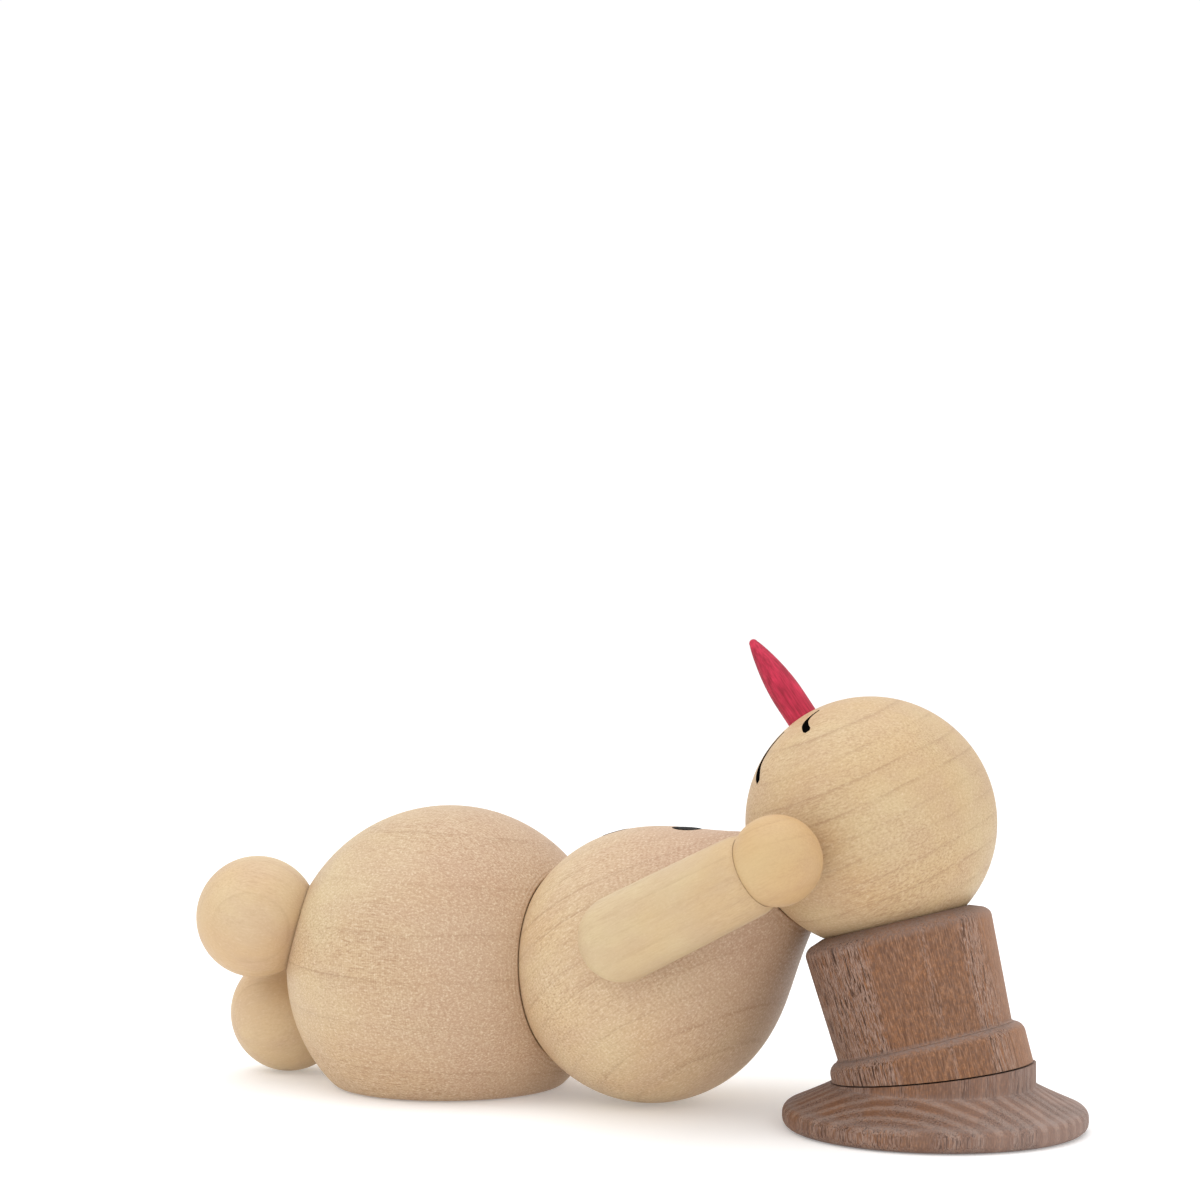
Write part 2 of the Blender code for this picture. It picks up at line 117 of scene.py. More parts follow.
def turned(name, profile, origin, axis, steps=160):
    """Closed solid of revolution in world space from (radius, height) points, top to bottom."""
    shape = bmesh.new()
    place = aligned(origin, axis)
    rows = []
    for radius, height in profile:
        if radius < 1e-7:
            rows.append([shape.verts.new(place @ Vector((0.0, 0.0, height)))])
            continue
        row = []
        for i in range(steps):
            turn = 2 * math.pi * i / steps
            point = Vector((radius * math.cos(turn), radius * math.sin(turn), height))
            row.append(shape.verts.new(place @ point))
        rows.append(row)
    for upper, lower in zip(rows, rows[1:]):
        for i in range(steps):
            j = (i + 1) % steps
            if len(upper) == 1:
                shape.faces.new((upper[0], lower[i], lower[j]))
            elif len(lower) == 1:
                shape.faces.new((upper[i], lower[0], upper[j]))
            else:
                shape.faces.new((upper[i], lower[i], lower[j], upper[j]))
    piece = built(name, shape)
    piece.data.shade_smooth()
    return piece


def arc(radius, first, last, count):
    """Points along an arc of the profile, angles in degrees down from the axis."""
    points = []
    for i in range(count + 1):
        turn = math.radians(first + (last - first) * i / count)
        points.append((max(0.0, radius * math.sin(turn)), radius * math.cos(turn)))
    return points


def ball_profile(radius, rows=80):
    points = arc(radius, 0, 180, rows)
    points[-1] = (0.0, -radius)
    return points


def ball(name, centre, radius, axis, steps=160):
    return turned(name, ball_profile(radius, steps // 2), centre, axis, steps)


def rod(name, centre, axis, radius, low, high, steps=40):
    profile = [(0.0, high), (radius, high), (radius, low), (0.0, low)]
    return turned(name, profile, centre, axis, steps)


def cut(piece, *cutters):
    """Subtracts each cutter from the piece and removes it."""
    for cutter in cutters:
        step = piece.modifiers.new("cut", "BOOLEAN")
        step.operation = "DIFFERENCE"
        step.solver = "EXACT"
        step.object = cutter
    graph = bpy.context.evaluated_depsgraph_get()
    mesh = bpy.data.meshes.new_from_object(piece.evaluated_get(graph))
    piece.modifiers.clear()
    piece.data = mesh
    for cutter in cutters:
        bpy.data.objects.remove(cutter, do_unlink=True)
    mesh.shade_smooth()
    mesh.set_sharp_from_angle(angle=math.radians(32))
    return piece


def finish_piece(piece, node, body, mat):
    piece.data.materials.clear()
    piece.data.materials.append(mat)
    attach(piece, body)
    if node:
        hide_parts(node)
    return piece


# ---------------------------------------------------------------- node helpers
class Tree:
    """Short calls for building a material's nodes."""

    def __init__(self, name):
        self.mat = bpy.data.materials.new(name)
        self.mat.use_nodes = True
        self.nodes = self.mat.node_tree.nodes
        self.links = self.mat.node_tree.links
        self.shader = self.nodes["Principled BSDF"]

    def put(self, socket, value):
        if isinstance(value, bpy.types.NodeSocket):
            self.links.new(value, socket)
        elif value is not None:
            socket.default_value = value

    def math(self, operation, a, b=None, c=None, clamp=False):
        node = self.nodes.new("ShaderNodeMath")
        node.operation = operation
        node.use_clamp = clamp
        for socket, value in zip(node.inputs, (a, b, c)):
            self.put(socket, value)
        return node.outputs[0]

    def vector(self, operation, a, b=None):
        node = self.nodes.new("ShaderNodeVectorMath")
        node.operation = operation
        self.put(node.inputs[0], a)
        self.put(node.inputs[1], b)
        return node.outputs["Value" if operation in ("LENGTH", "DOT_PRODUCT") else "Vector"]

    def noise(self, place, scale, detail=2.0, roughness=0.5):
        node = self.nodes.new("ShaderNodeTexNoise")
        self.put(node.inputs["Vector"], place)
        self.put(node.inputs["Scale"], scale)
        self.put(node.inputs["Detail"], detail)
        self.put(node.inputs["Roughness"], roughness)
        return node.outputs["Fac"]

    def ramp(self, value, *stops):
        """Colour ramp; a stop is (place, grey) or (place, (r, g, b))."""
        node = self.nodes.new("ShaderNodeValToRGB")
        self.put(node.inputs["Fac"], value)
        points = node.color_ramp.elements
        while len(points) < len(stops):
            points.new(0.5)
        for point, (place, colour) in zip(points, stops):
            point.position = place
            shade = colour if isinstance(colour, tuple) else (colour,) * 3
            point.color = (*shade, 1.0)
        return node.outputs["Color"]

    def mix(self, factor, a, b, blend="MIX"):
        node = self.nodes.new("ShaderNodeMix")
        node.data_type = "RGBA"
        node.blend_type = blend
        self.put(node.inputs[0], factor)
        self.put(node.inputs[6], a if isinstance(a, bpy.types.NodeSocket) else (*a, 1.0))
        self.put(node.inputs[7], b if isinstance(b, bpy.types.NodeSocket) else (*b, 1.0))
        return node.outputs[2]

    def bump(self, height, strength, distance):
        node = self.nodes.new("ShaderNodeBump")
        self.put(node.inputs["Strength"], strength)
        self.put(node.inputs["Distance"], distance)
        self.put(node.inputs["Height"], height)
        return node.outputs["Normal"]

    def local(self, centre, along, up):
        """Millimetre coordinates round a centre, with +Z along the fibres and +Y up the log."""
        z = along.normalized()
        x = up.cross(z).normalized()
        y = z.cross(x)
        texture = self.nodes.new("ShaderNodeTexCoord")
        moved = self.vector("SUBTRACT", texture.outputs["Object"], tuple(centre))
        combine = self.nodes.new("ShaderNodeCombineXYZ")
        for socket, axis in zip(combine.inputs, (x, y, z)):
            self.links.new(self.vector("DOT_PRODUCT", moved, tuple(axis / MM)), socket)
        return combine.outputs[0]

    def along(self, axis):
        """Distance in millimetres from the origin along an axis."""
        texture = self.nodes.new("ShaderNodeTexCoord")
        return self.vector("DOT_PRODUCT", texture.outputs["Object"], tuple(axis / MM))

    def split(self, vector):
        node = self.nodes.new("ShaderNodeSeparateXYZ")
        self.links.new(vector, node.inputs[0])
        return node.outputs

    def stretched(self, place, across, along, seed=0.0):
        """Coordinates scaled across and along the fibres, moved on by a seed."""
        scaled = self.vector("MULTIPLY", place, (across, across, along))
        return self.vector("ADD", scaled, (seed * 7.3, seed * 3.1, seed * 5.7))


def srgb(r, g, b):
    """Linear colour from a display colour of 0 to 255."""
    out = []
    for value in (r, g, b):
        v = value / 255
        out.append(v / 12.92 if v <= 0.04045 else ((v + 0.055) / 1.055) ** 2.4)
    return tuple(out)


MAPLE_YELLOW = srgb(206, 184, 147)
MAPLE_TAN = srgb(201, 171, 132)
MAPLE_CLOUD = srgb(194, 165, 136)
MAPLE_ROSY = srgb(186, 154, 130)
MAPLE_LINE = srgb(142, 104, 72)
MAPLE_DARK_FLECK = srgb(160, 122, 88)
MAPLE_LIGHT_FLECK = srgb(224, 205, 172)
MAPLE_DARK_DOT = srgb(164, 130, 100)
MAPLE_LIGHT_DOT = srgb(222, 204, 176)
MAPLE_DARK_GROOVE = srgb(156, 120, 90)
MAPLE_LIGHT_GROOVE = srgb(226, 208, 180)
LINE_WIDTH = 0.20  # millimetres
RIPPLE = 0.35  # millimetres a growth line wavers
RIM_REACH = 2.0  # millimetres of turned lines next to a cup's rim


def maple(name, centre, along, up, seed, pith=90.0, spacing=5.5, ring=0.55, lathe=None, rosy=None,
          fleck_share=0.5, stipple_share=0.5, tone=(1.0, 1.0, 1.0)):
    """Pale turned maple: thin growth lines, short flecks, stipple, soft patches and lathe marks.

    pith and spacing are millimetres: how far below the centre the log's middle is, and between
    growth lines. lathe is (axis, pitch, share, height of the rim) and rosy is (axis, low, high,
    share), with their lengths in millimetres.
    """
    t = Tree(name)
    place = t.local(centre, along, up)
    x, y, _ = t.split(place)
    sway = t.noise(t.stretched(place, 0.03, 0.018, seed), 1.0, 2.0)
    ripple = t.noise(t.stretched(place, 0.5, 0.14, seed + 3), 1.0, 2.0)
    depth = t.math("ADD", y, pith)
    radius = t.math("SQRT", t.math("ADD", t.math("POWER", x, 2.0), t.math("POWER", depth, 2.0)))
    radius = t.math("ADD", radius, t.math("MULTIPLY", sway, 0.5 * spacing))
    radius = t.math("ADD", radius, t.math("MULTIPLY", ripple, RIPPLE))
    years = t.math("DIVIDE", radius, spacing)
    year = t.math("FRACT", years)
    width = LINE_WIDTH / spacing
    line = t.ramp(year, (0.0, 0.45), (width, 0.0), (0.70, 0.0), (1 - 3 * width, 0.22),
                  (1 - 0.5 * width, 1.0), (1.0, 0.45))
    lot = t.math("FRACT", t.math("MULTIPLY", t.math("SINE", t.math("FLOOR", years)), 43.7))
    fade = t.noise(t.stretched(place, 0.15, 0.07, seed + 9), 1.0, 2.0)
    fade = t.ramp(fade, (0.38, 0.25), (0.60, 1.0))
    line = t.math("MULTIPLY", t.math("MULTIPLY", line, fade), t.math("MULTIPLY_ADD", lot, 0.6, 0.4))
    fleck = t.noise(t.stretched(place, 3.0, 0.42, seed + 5), 1.0, 2.0, 0.6)
    stipple = t.noise(t.stretched(place, 2.7, 1.9, seed + 6), 1.0, 2.0, 0.7)
    patch = t.noise(t.stretched(place, 0.05, 0.035, seed + 7), 1.0, 2.0)
    cloud = t.noise(t.stretched(place, 0.16, 0.07, seed + 8), 1.0, 2.0)
    base = t.mix(t.ramp(patch, (0.36, 0.0), (0.64, 1.0)), MAPLE_YELLOW, MAPLE_TAN)
    base = t.mix(t.ramp(cloud, (0.40, 0.0), (0.66, 0.5)), base, MAPLE_CLOUD)
    if rosy:
        axis, low, high, share = rosy
        rise = t.math("DIVIDE", t.math("SUBTRACT", t.along(axis), low), high - low, clamp=True)
        blush = t.ramp(rise, (0.0, 0.0), (1.0, share))
        base = t.mix(blush, base, MAPLE_ROSY)
    base = t.mix(t.math("MULTIPLY", line, ring), base, MAPLE_LINE)
    where = t.noise(t.stretched(place, 0.06, 0.04, seed + 2), 1.0, 2.0)
    where = t.ramp(where, (0.35, 1.0), (0.62, 0.15))
    dark_fleck = t.math("MULTIPLY", t.ramp(fleck, (0.50, 0.0), (0.66, fleck_share)), where)
    base = t.mix(dark_fleck, base, MAPLE_DARK_FLECK)
    base = t.mix(t.ramp(fleck, (0.28, 0.6 * fleck_share), (0.44, 0.0)), base, MAPLE_LIGHT_FLECK)
    base = t.mix(t.ramp(stipple, (0.50, 0.0), (0.72, 0.7 * stipple_share)), base, MAPLE_DARK_DOT)
    base = t.mix(t.ramp(stipple, (0.28, stipple_share), (0.46, 0.0)), base, MAPLE_LIGHT_DOT)
    height = t.math("MULTIPLY", t.math("ADD", fleck, stipple), -0.5)
    height = t.math("SUBTRACT", height, t.math("MULTIPLY", line, 0.5))
    if lathe:
        axis, pitch, share, rim = lathe
        run = t.along(axis)
        jitter = t.noise(t.stretched(place, 0.02, 0.7, seed + 11), 1.0, 3.0)
        jitter = t.math("MULTIPLY", jitter, 0.9)
        wave = t.math("SINE", t.math("MULTIPLY", t.math("ADD", run, jitter), 2 * math.pi / pitch))
        where = t.noise(t.stretched(place, 0.06, 0.06, seed + 12), 1.0, 2.0)
        where = t.ramp(where, (0.42, 0.0), (0.62, 0.5))
        close = t.math("DIVIDE", t.math("SUBTRACT", rim, run), RIM_REACH)
        close = t.math("SUBTRACT", 1.0, close, clamp=True)
        where = t.math("ADD", where, t.math("MULTIPLY", close, 0.7))
        wave = t.math("MULTIPLY", wave, where)
        height = t.math("ADD", height, t.math("MULTIPLY", wave, 0.4))
        base = t.mix(t.math("MULTIPLY", t.math("MAXIMUM", wave, 0.0), share), base, MAPLE_DARK_GROOVE)
        light = t.math("MULTIPLY", t.math("MAXIMUM", t.math("MULTIPLY", wave, -1.0), 0.0), share)
        base = t.mix(light, base, MAPLE_LIGHT_GROOVE)
    t.put(t.shader.inputs["Base Color"], t.mix(1.0, base, tone, "MULTIPLY"))
    t.put(t.shader.inputs["Roughness"], t.math("MULTIPLY_ADD", fleck, 0.25, 0.38))
    t.put(t.shader.inputs["Normal"], t.bump(height, 0.4, 0.00009))
    t.shader.inputs["Specular IOR Level"].default_value = 0.3
    return t.mat


OAK_BROWN = srgb(126, 88, 62)
OAK_ORANGE = srgb(138, 92, 58)
OAK_DARK_GRIT = srgb(106, 78, 64)
OAK_LIGHT_GRIT = srgb(164, 118, 84)
OAK_DARK_FIBRE = srgb(84, 56, 40)
OAK_LIGHT_FIBRE = srgb(172, 132, 104)
OAK_TORN = srgb(186, 158, 144)
OAK_PORE = srgb(54, 34, 26)
# Painted rim light: paler oak colours for the side lit from the right and behind.
OAK_RIM_LIGHT_CROWN = srgb(186, 138, 106)
OAK_RIM_LIGHT_BRIM = srgb(174, 154, 146)
OAK_EARLY_WOOD = srgb(160, 140, 130)
OAK_LATE_WOOD = srgb(96, 64, 50)
# Grey for the rounded edges: partly real wear, partly painted sheen where the edges catch the light.
OAK_WEAR_AND_SHEEN = srgb(150, 132, 124)


def smoked_oak(name, centre, along, up, seed, pith, spacing, wear_and_sheen, rim_light, rings=0.0, strips=None):
    """Dark smoked oak: torn pores along the fibres in strips, year rings, grey edges that are part
    wear and part painted sheen, and a painted rim light that pales one side.

    wear_and_sheen holds (kind, low, middle, high, share): grey between two heights, or two radii from
    the axis, standing partly for wear and partly for painted sheen where the rounded edges catch the
    light.
    rim_light is (low, high, share, colour) across the fibres: painted rim light, paler towards one
    side.
    strips are the stops of a ramp across them.
    """
    t = Tree(name)
    place = t.local(centre, along, up)
    x, y, z = t.split(place)
    sway = t.noise(t.stretched(place, 0.07, 0.02, seed), 1.0, 2.0)
    depth = t.math("ADD", y, pith)
    radius = t.math("SQRT", t.math("ADD", t.math("POWER", x, 2.0), t.math("POWER", depth, 2.0)))
    radius = t.math("ADD", radius, t.math("MULTIPLY", sway, 3.0))
    year = t.math("FRACT", t.math("DIVIDE", radius, spacing))
    early = t.ramp(year, (0.0, 0.3), (0.12, 0.0), (0.50, 0.0), (0.72, 1.0), (0.9, 1.0), (1.0, 0.3))
    if strips:
        wobble = t.noise(t.stretched(place, 0.3, 0.06, seed + 1), 1.0, 2.0)
        across = t.math("ADD", x, t.math("MULTIPLY", wobble, 5.0))
        strip = t.ramp(t.math("DIVIDE", t.math("ADD", across, 17.5), 40.0), *strips)
    else:
        layer = t.noise(t.stretched(place, 0.17, 0.012, seed + 1), 1.0, 1.0)
        strip = t.ramp(layer, (0.44, 0.10), (0.56, 1.0))
    pore = t.noise(t.stretched(place, 2.7, 0.15, seed + 2), 1.0, 3.0, 0.68)
    fine = t.noise(t.stretched(place, 4.2, 0.5, seed + 4), 1.0, 2.0, 0.6)
    grit = t.noise(t.stretched(place, 1.5, 1.5, seed + 5), 1.0, 3.0, 0.7)
    blotch = t.noise(t.stretched(place, 0.09, 0.05, seed + 6), 1.0, 2.0)
    base = t.mix(t.ramp(blotch, (0.38, 0.0), (0.62, 1.0)), OAK_BROWN, OAK_ORANGE)
    base = t.mix(t.ramp(grit, (0.40, 0.0), (0.66, 0.65)), base, OAK_DARK_GRIT)
    base = t.mix(t.ramp(grit, (0.30, 0.5), (0.46, 0.0)), base, OAK_LIGHT_GRIT)
    base = t.mix(t.ramp(fine, (0.48, 0.0), (0.66, 0.65)), base, OAK_DARK_FIBRE)
    base = t.mix(t.ramp(fine, (0.30, 0.5), (0.45, 0.0)), base, OAK_LIGHT_FIBRE)
    torn = t.math("MULTIPLY", t.ramp(pore, (0.44, 0.0), (0.515, 0.85), (0.56, 0.0)), strip)
    base = t.mix(torn, base, OAK_TORN)
    open_pore = t.math("MULTIPLY", t.ramp(pore, (0.56, 0.0), (0.61, 0.85)), strip)
    base = t.mix(open_pore, base, OAK_PORE)
    # Painted rim light: the side across the fibres is made paler, standing in for light from the
    # right.
    low, high, share, rim_light_colour = rim_light
    rim_light_share = t.math("DIVIDE", t.math("SUBTRACT", x, low), high - low, clamp=True)
    base = t.mix(t.math("MULTIPLY", rim_light_share, share), base, rim_light_colour)
    if rings:
        texture = t.nodes.new("ShaderNodeTexCoord")
        flat = t.split(texture.outputs["Normal"])[2]
        early = t.math("MULTIPLY", early, t.ramp(flat, (0.25, 0.15), (0.75, 1.0)))
        dots = t.noise(t.stretched(place, 2.2, 0.8, seed + 7), 1.0, 2.0, 0.7)
        dots = t.ramp(dots, (0.40, 0.25), (0.56, 1.0))
        dotted = t.math("MULTIPLY", t.math("MULTIPLY", early, dots), rings)
        base = t.mix(dotted, base, OAK_EARLY_WOOD)
        base = t.mix(t.ramp(early, (0.0, 0.30), (0.25, 0.0)), base, OAK_LATE_WOOD)
    # Grey edges, part real wear and part painted sheen: a painted highlight where the rounded edges
    # catch the light.
    for kind, low, middle, high, share in wear_and_sheen:
        if kind == "along":
            reach = z
        else:
            reach = t.math("SQRT", t.math("ADD", t.math("POWER", x, 2.0), t.math("POWER", y, 2.0)))
        rise = t.math("DIVIDE", t.math("SUBTRACT", reach, low), middle - low, clamp=True)
        fall = t.math("DIVIDE", t.math("SUBTRACT", high, reach), high - middle, clamp=True)
        edge = t.math("MULTIPLY", t.math("MULTIPLY", rise, fall), share)
        edge = t.math("MULTIPLY", edge, t.ramp(grit, (0.32, 0.25), (0.60, 1.0)))
        base = t.mix(edge, base, OAK_WEAR_AND_SHEEN)
    height = t.math("SUBTRACT", t.math("MULTIPLY", fine, -0.3), open_pore)
    height = t.math("ADD", height, t.math("MULTIPLY", torn, 0.6))
    height = t.math("ADD", height, t.math("MULTIPLY", early, rings * 0.5))
    t.put(t.shader.inputs["Base Color"], base)
    t.put(t.shader.inputs["Roughness"], t.math("MULTIPLY_ADD", fine, 0.2, 0.5))
    t.put(t.shader.inputs["Normal"], t.bump(height, 0.7, 0.0002))
    t.shader.inputs["Specular IOR Level"].default_value = 0.3
    return t.mat


def painted(name, colour, shade, roughness, along, centre, seed, bump=0.3, shine=0.35):
    """Thin paint or stain on wood, with the fibres just showing through."""
    t = Tree(name)
    place = t.local(centre, along, Vector((0, 1, 0)))
    fibre = t.noise(t.stretched(place, 2.4, 0.22, seed), 1.0, 3.0, 0.6)
    cloud = t.noise(t.stretched(place, 0.4, 0.2, seed + 1), 1.0, 2.0)
    factor = t.math("ADD", t.math("MULTIPLY", fibre, 0.7), t.math("MULTIPLY", cloud, 0.5))
    base = t.mix(t.ramp(factor, (0.35, 0.0), (0.85, 1.0)), colour, shade)
    t.put(t.shader.inputs["Base Color"], base)
    t.put(t.shader.inputs["Roughness"], t.math("ADD", t.math("MULTIPLY", fibre, 0.25), roughness))
    t.put(t.shader.inputs["Normal"], t.bump(fibre, bump, 0.00006))
    t.shader.inputs["Specular IOR Level"].default_value = shine
    return t.mat


def metal(name, colour, seed):
    t = Tree(name)
    place = t.local(Vector((0, 0, 0)), Vector((0, 0, 1)), Vector((0, 1, 0)))
    scratch = t.noise(t.stretched(place, 6.0, 0.5, seed), 1.0, 3.0, 0.6)
    t.put(t.shader.inputs["Base Color"], t.mix(scratch, colour, tuple(0.75 * c for c in colour)))
    t.put(t.shader.inputs["Roughness"], t.math("ADD", t.math("MULTIPLY", scratch, 0.25), 0.22))
    t.put(t.shader.inputs["Normal"], t.bump(scratch, 0.2, 0.00003))
    t.shader.inputs["Metallic"].default_value = 1.0
    return t.mat


def braided(name, along, centre):
    """Cotton-covered elastic: two sets of threads winding opposite ways."""
    t = Tree(name)
    place = t.local(centre, along, Vector((0, 1, 0)))
    x, y, z = t.split(place)
    turn = t.math("ARCTAN2", y, x)
    threads = []
    for way in (1.0, -1.0):
        phase = t.math("ADD", t.math("MULTIPLY", turn, 8.0 * way), t.math("MULTIPLY", z, 5.0))
        threads.append(t.math("SINE", phase))
    weave = t.math("MAXIMUM", threads[0], threads[1])
    fuzz = t.noise(place, 6.0, 3.0)
    base = t.mix(t.ramp(weave, (0.0, 0.0), (0.9, 1.0)), srgb(170, 160, 142), srgb(226, 220, 206))
    t.put(t.shader.inputs["Base Color"], base)
    t.put(t.shader.inputs["Roughness"], t.math("ADD", t.math("MULTIPLY", fuzz, 0.2), 0.7))
    t.put(t.shader.inputs["Normal"], t.bump(weave, 0.6, 0.00015))
    return t.mat


# ---------------------------------------------------------------- the turned pieces
TORSO_CUP = TORSO_RADIUS + SEAT_GAP
BULGE = 24.9 * MM  # how far the torso's egg shape is drawn out towards the neck
BULGE_START = 108.0  # degrees off the neck axis
BULGE_POWER = 6.0
CHAMBER_RADIUS = 3.6 * MM  # round hollow for a cord's knot
CORD_HOLE = 2.2 * MM
DOWEL_HOLE = 2.3 * MM
WRIST_HOLE = 1.8 * MM
WAIST_BORE = 4.8 * MM
WAIST_BORE_DEPTH = 6.0 * MM
NECK_BORE = 3.5 * MM
RIM_WIDTH = 0.40 * MM  # rounding where a cup meets the outside
FLOOR_SOFTNESS = 0.7 * MM  # rounding where the lower body meets the floor
ARM_SEAT_RADIUS = 9.4 * MM
ARM_RADIUS = 8.7 * MM
WRIST_RADIUS = 8.1 * MM
WRIST_EDGE = 4.6 * MM
ARM_END_GAP = 3.0 * MM
BUTTON_RADIUS = 3.1 * MM
BUTTON_THICKNESS = 1.6 * MM
BUTTON_SINK = 0.05 * MM
BUTTON_EDGE = 0.25 * MM
NOSE_RADIUS = 3.2 * MM
NOSE_SOCKET_RADIUS = 3.35 * MM
NOSE_TENON = 3.5 * MM
NOSE_TIP_RADIUS = 0.9 * MM
DISC_HOLE = 5.3 * MM  # for the steel disc in the head and the magnet in the hat
SIDE = Vector((0.0, 1.0, 0.0))

# Where each hole starts and ends along its axis, from the ball, root or plane it is measured from.
DOWEL_IN_BODY = (21.7 * MM, 40 * MM)
DOWEL_IN_FOOT = (-0.3 * MM, 30 * MM)
SHOULDER_IN_TORSO = (12.5 * MM, 45 * MM)
SHOULDER_IN_ARM = (12 * MM, 35.4 * MM)
WRIST_IN_ARM = (0.0, 18 * MM)
WRIST_IN_HAND = (1.7 * MM, 12 * MM)
NOSE_SOCKET = (21.2 * MM, 30 * MM)
DISC_SOCKET = (21.1 * MM, 30 * MM)
PIN_IN_BRIM = (-7.3 * MM, 5 * MM)
PIN_IN_CROWN = (-5 * MM, 9.3 * MM)
RECESS_TOP = 12 * MM  # how far out a button's cutter reaches
RECESS_GAP = 0.1 * MM

# Steps round the axis.
BODY_STEPS = 216
HEAD_STEPS = 192
HAT_STEPS = 220
DISH_STEPS = 176
FOOT_STEPS = 128
ARM_STEPS = 120
FINE_STEPS = 96  # seats, sockets, buttons and the nose
FLARE_STEPS = 48
CHAMBER_STEPS = 32


def torso_radius(angle):
    """Distance from the torso's middle to its surface, by degrees off the neck axis."""
    if angle >= BULGE_START:
        return TORSO_RADIUS
    share = (BULGE_START - angle) / BULGE_START
    return TORSO_RADIUS + BULGE * share**BULGE_POWER


def flare(name, apex, axis, length, half_angle):
    """Cone-shaped bore that opens away from the middle of a ball."""
    wide = CORD_HOLE + length * math.tan(math.radians(half_angle))
    profile = [(0.0, length), (wide, length), (CORD_HOLE, 0.0), (0.0, 0.0)]
    return turned(name, profile, apex, axis, FLARE_STEPS)


def soft_corner(inner, outer, width):
    """Joins two runs of a profile that meet in a corner, with the corner rounded off."""
    corner = inner[-1]
    inner = [point for point in inner if math.dist(point, corner) > width]
    outer = [point for point in outer if math.dist(point, corner) > width]
    bend = []
    for i in range(1, 6):
        t = i / 6
        parts = zip(inner[-1], corner, outer[0])
        bend.append(tuple((1 - t) ** 2 * a + 2 * t * (1 - t) * b + t * t * c for a, b, c in parts))
    return inner + bend + outer


def cup_arc(height, radius, bore, rim, rows=90):
    """Hollow of a ball seat, from the edge of its bore out to its rim."""
    first = math.asin(bore / radius)
    last = math.atan2(rim[0], height - rim[1])
    turns = [first + (last - first) * i / rows for i in range(rows + 1)]
    return [(radius * math.sin(turn), height - radius * math.cos(turn)) for turn in turns]


def make_lower_body():
    reach = (TORSO - LOWER).length
    rim_height = (reach**2 + LOWER_RADIUS**2 - TORSO_CUP**2) / (2 * reach)
    rim = (math.sqrt(LOWER_RADIUS**2 - rim_height**2), rim_height)
    cup = cup_arc(reach, TORSO_CUP, WAIST_BORE, rim)
    outside = arc(LOWER_RADIUS, math.degrees(math.atan2(*rim)), 180, 170)
    outside[-1] = (0.0, -LOWER_RADIUS)
    profile = [(0.0, -WAIST_BORE_DEPTH), (WAIST_BORE, -WAIST_BORE_DEPTH)]
    profile += soft_corner(cup, outside, RIM_WIDTH)
    piece = turned("lower_body_turned", profile, LOWER, WAIST, BODY_STEPS)
    for vert in piece.data.vertices:
        height = vert.co.z
        vert.co.z = (height + math.sqrt(height * height + FLOOR_SOFTNESS * FLOOR_SOFTNESS)) / 2
    cutters = []
    for foot in ("left_foot", "right_foot"):
        centre = FOOT[foot]
        away = (centre - LOWER).normalized()
        cutters.append(ball("cut_" + foot, centre, FOOT_RADIUS + GAP, away, FINE_STEPS))
        cutters.append(rod("cut_hole", LOWER, away, DOWEL_HOLE, *DOWEL_IN_BODY))
    cut(piece, *cutters)
    middle_run = LOWER.dot(WAIST) / MM
    rim_run = (LOWER + WAIST * rim_height).dot(WAIST) / MM
    mat = maple("maple_lower_body", LOWER, Vector((1, 0, -0.04)), Vector((0.04, 0.10, 1)), 1.0,
                pith=320.0, spacing=9.5, ring=0.55, lathe=(WAIST, 0.55, 0.16, rim_run),
                rosy=(WAIST, middle_run - 14, middle_run + 18, 0.75), fleck_share=0.65,
                stipple_share=0.75, tone=(0.96, 0.96, 0.95))
    finish_piece(piece, "lower_body", "lower_body", mat)


def shoulder_line(side):
    """Middle of a shoulder, the point of its dowel's axis inside the torso, and the way out."""
    shoulder = joint_at(side + "_shoulder_swing")
    outward = Vector((0.0, math.copysign(1.0, shoulder.y), 0.0))
    return shoulder, Vector((shoulder.x, 0.0, shoulder.z)), outward


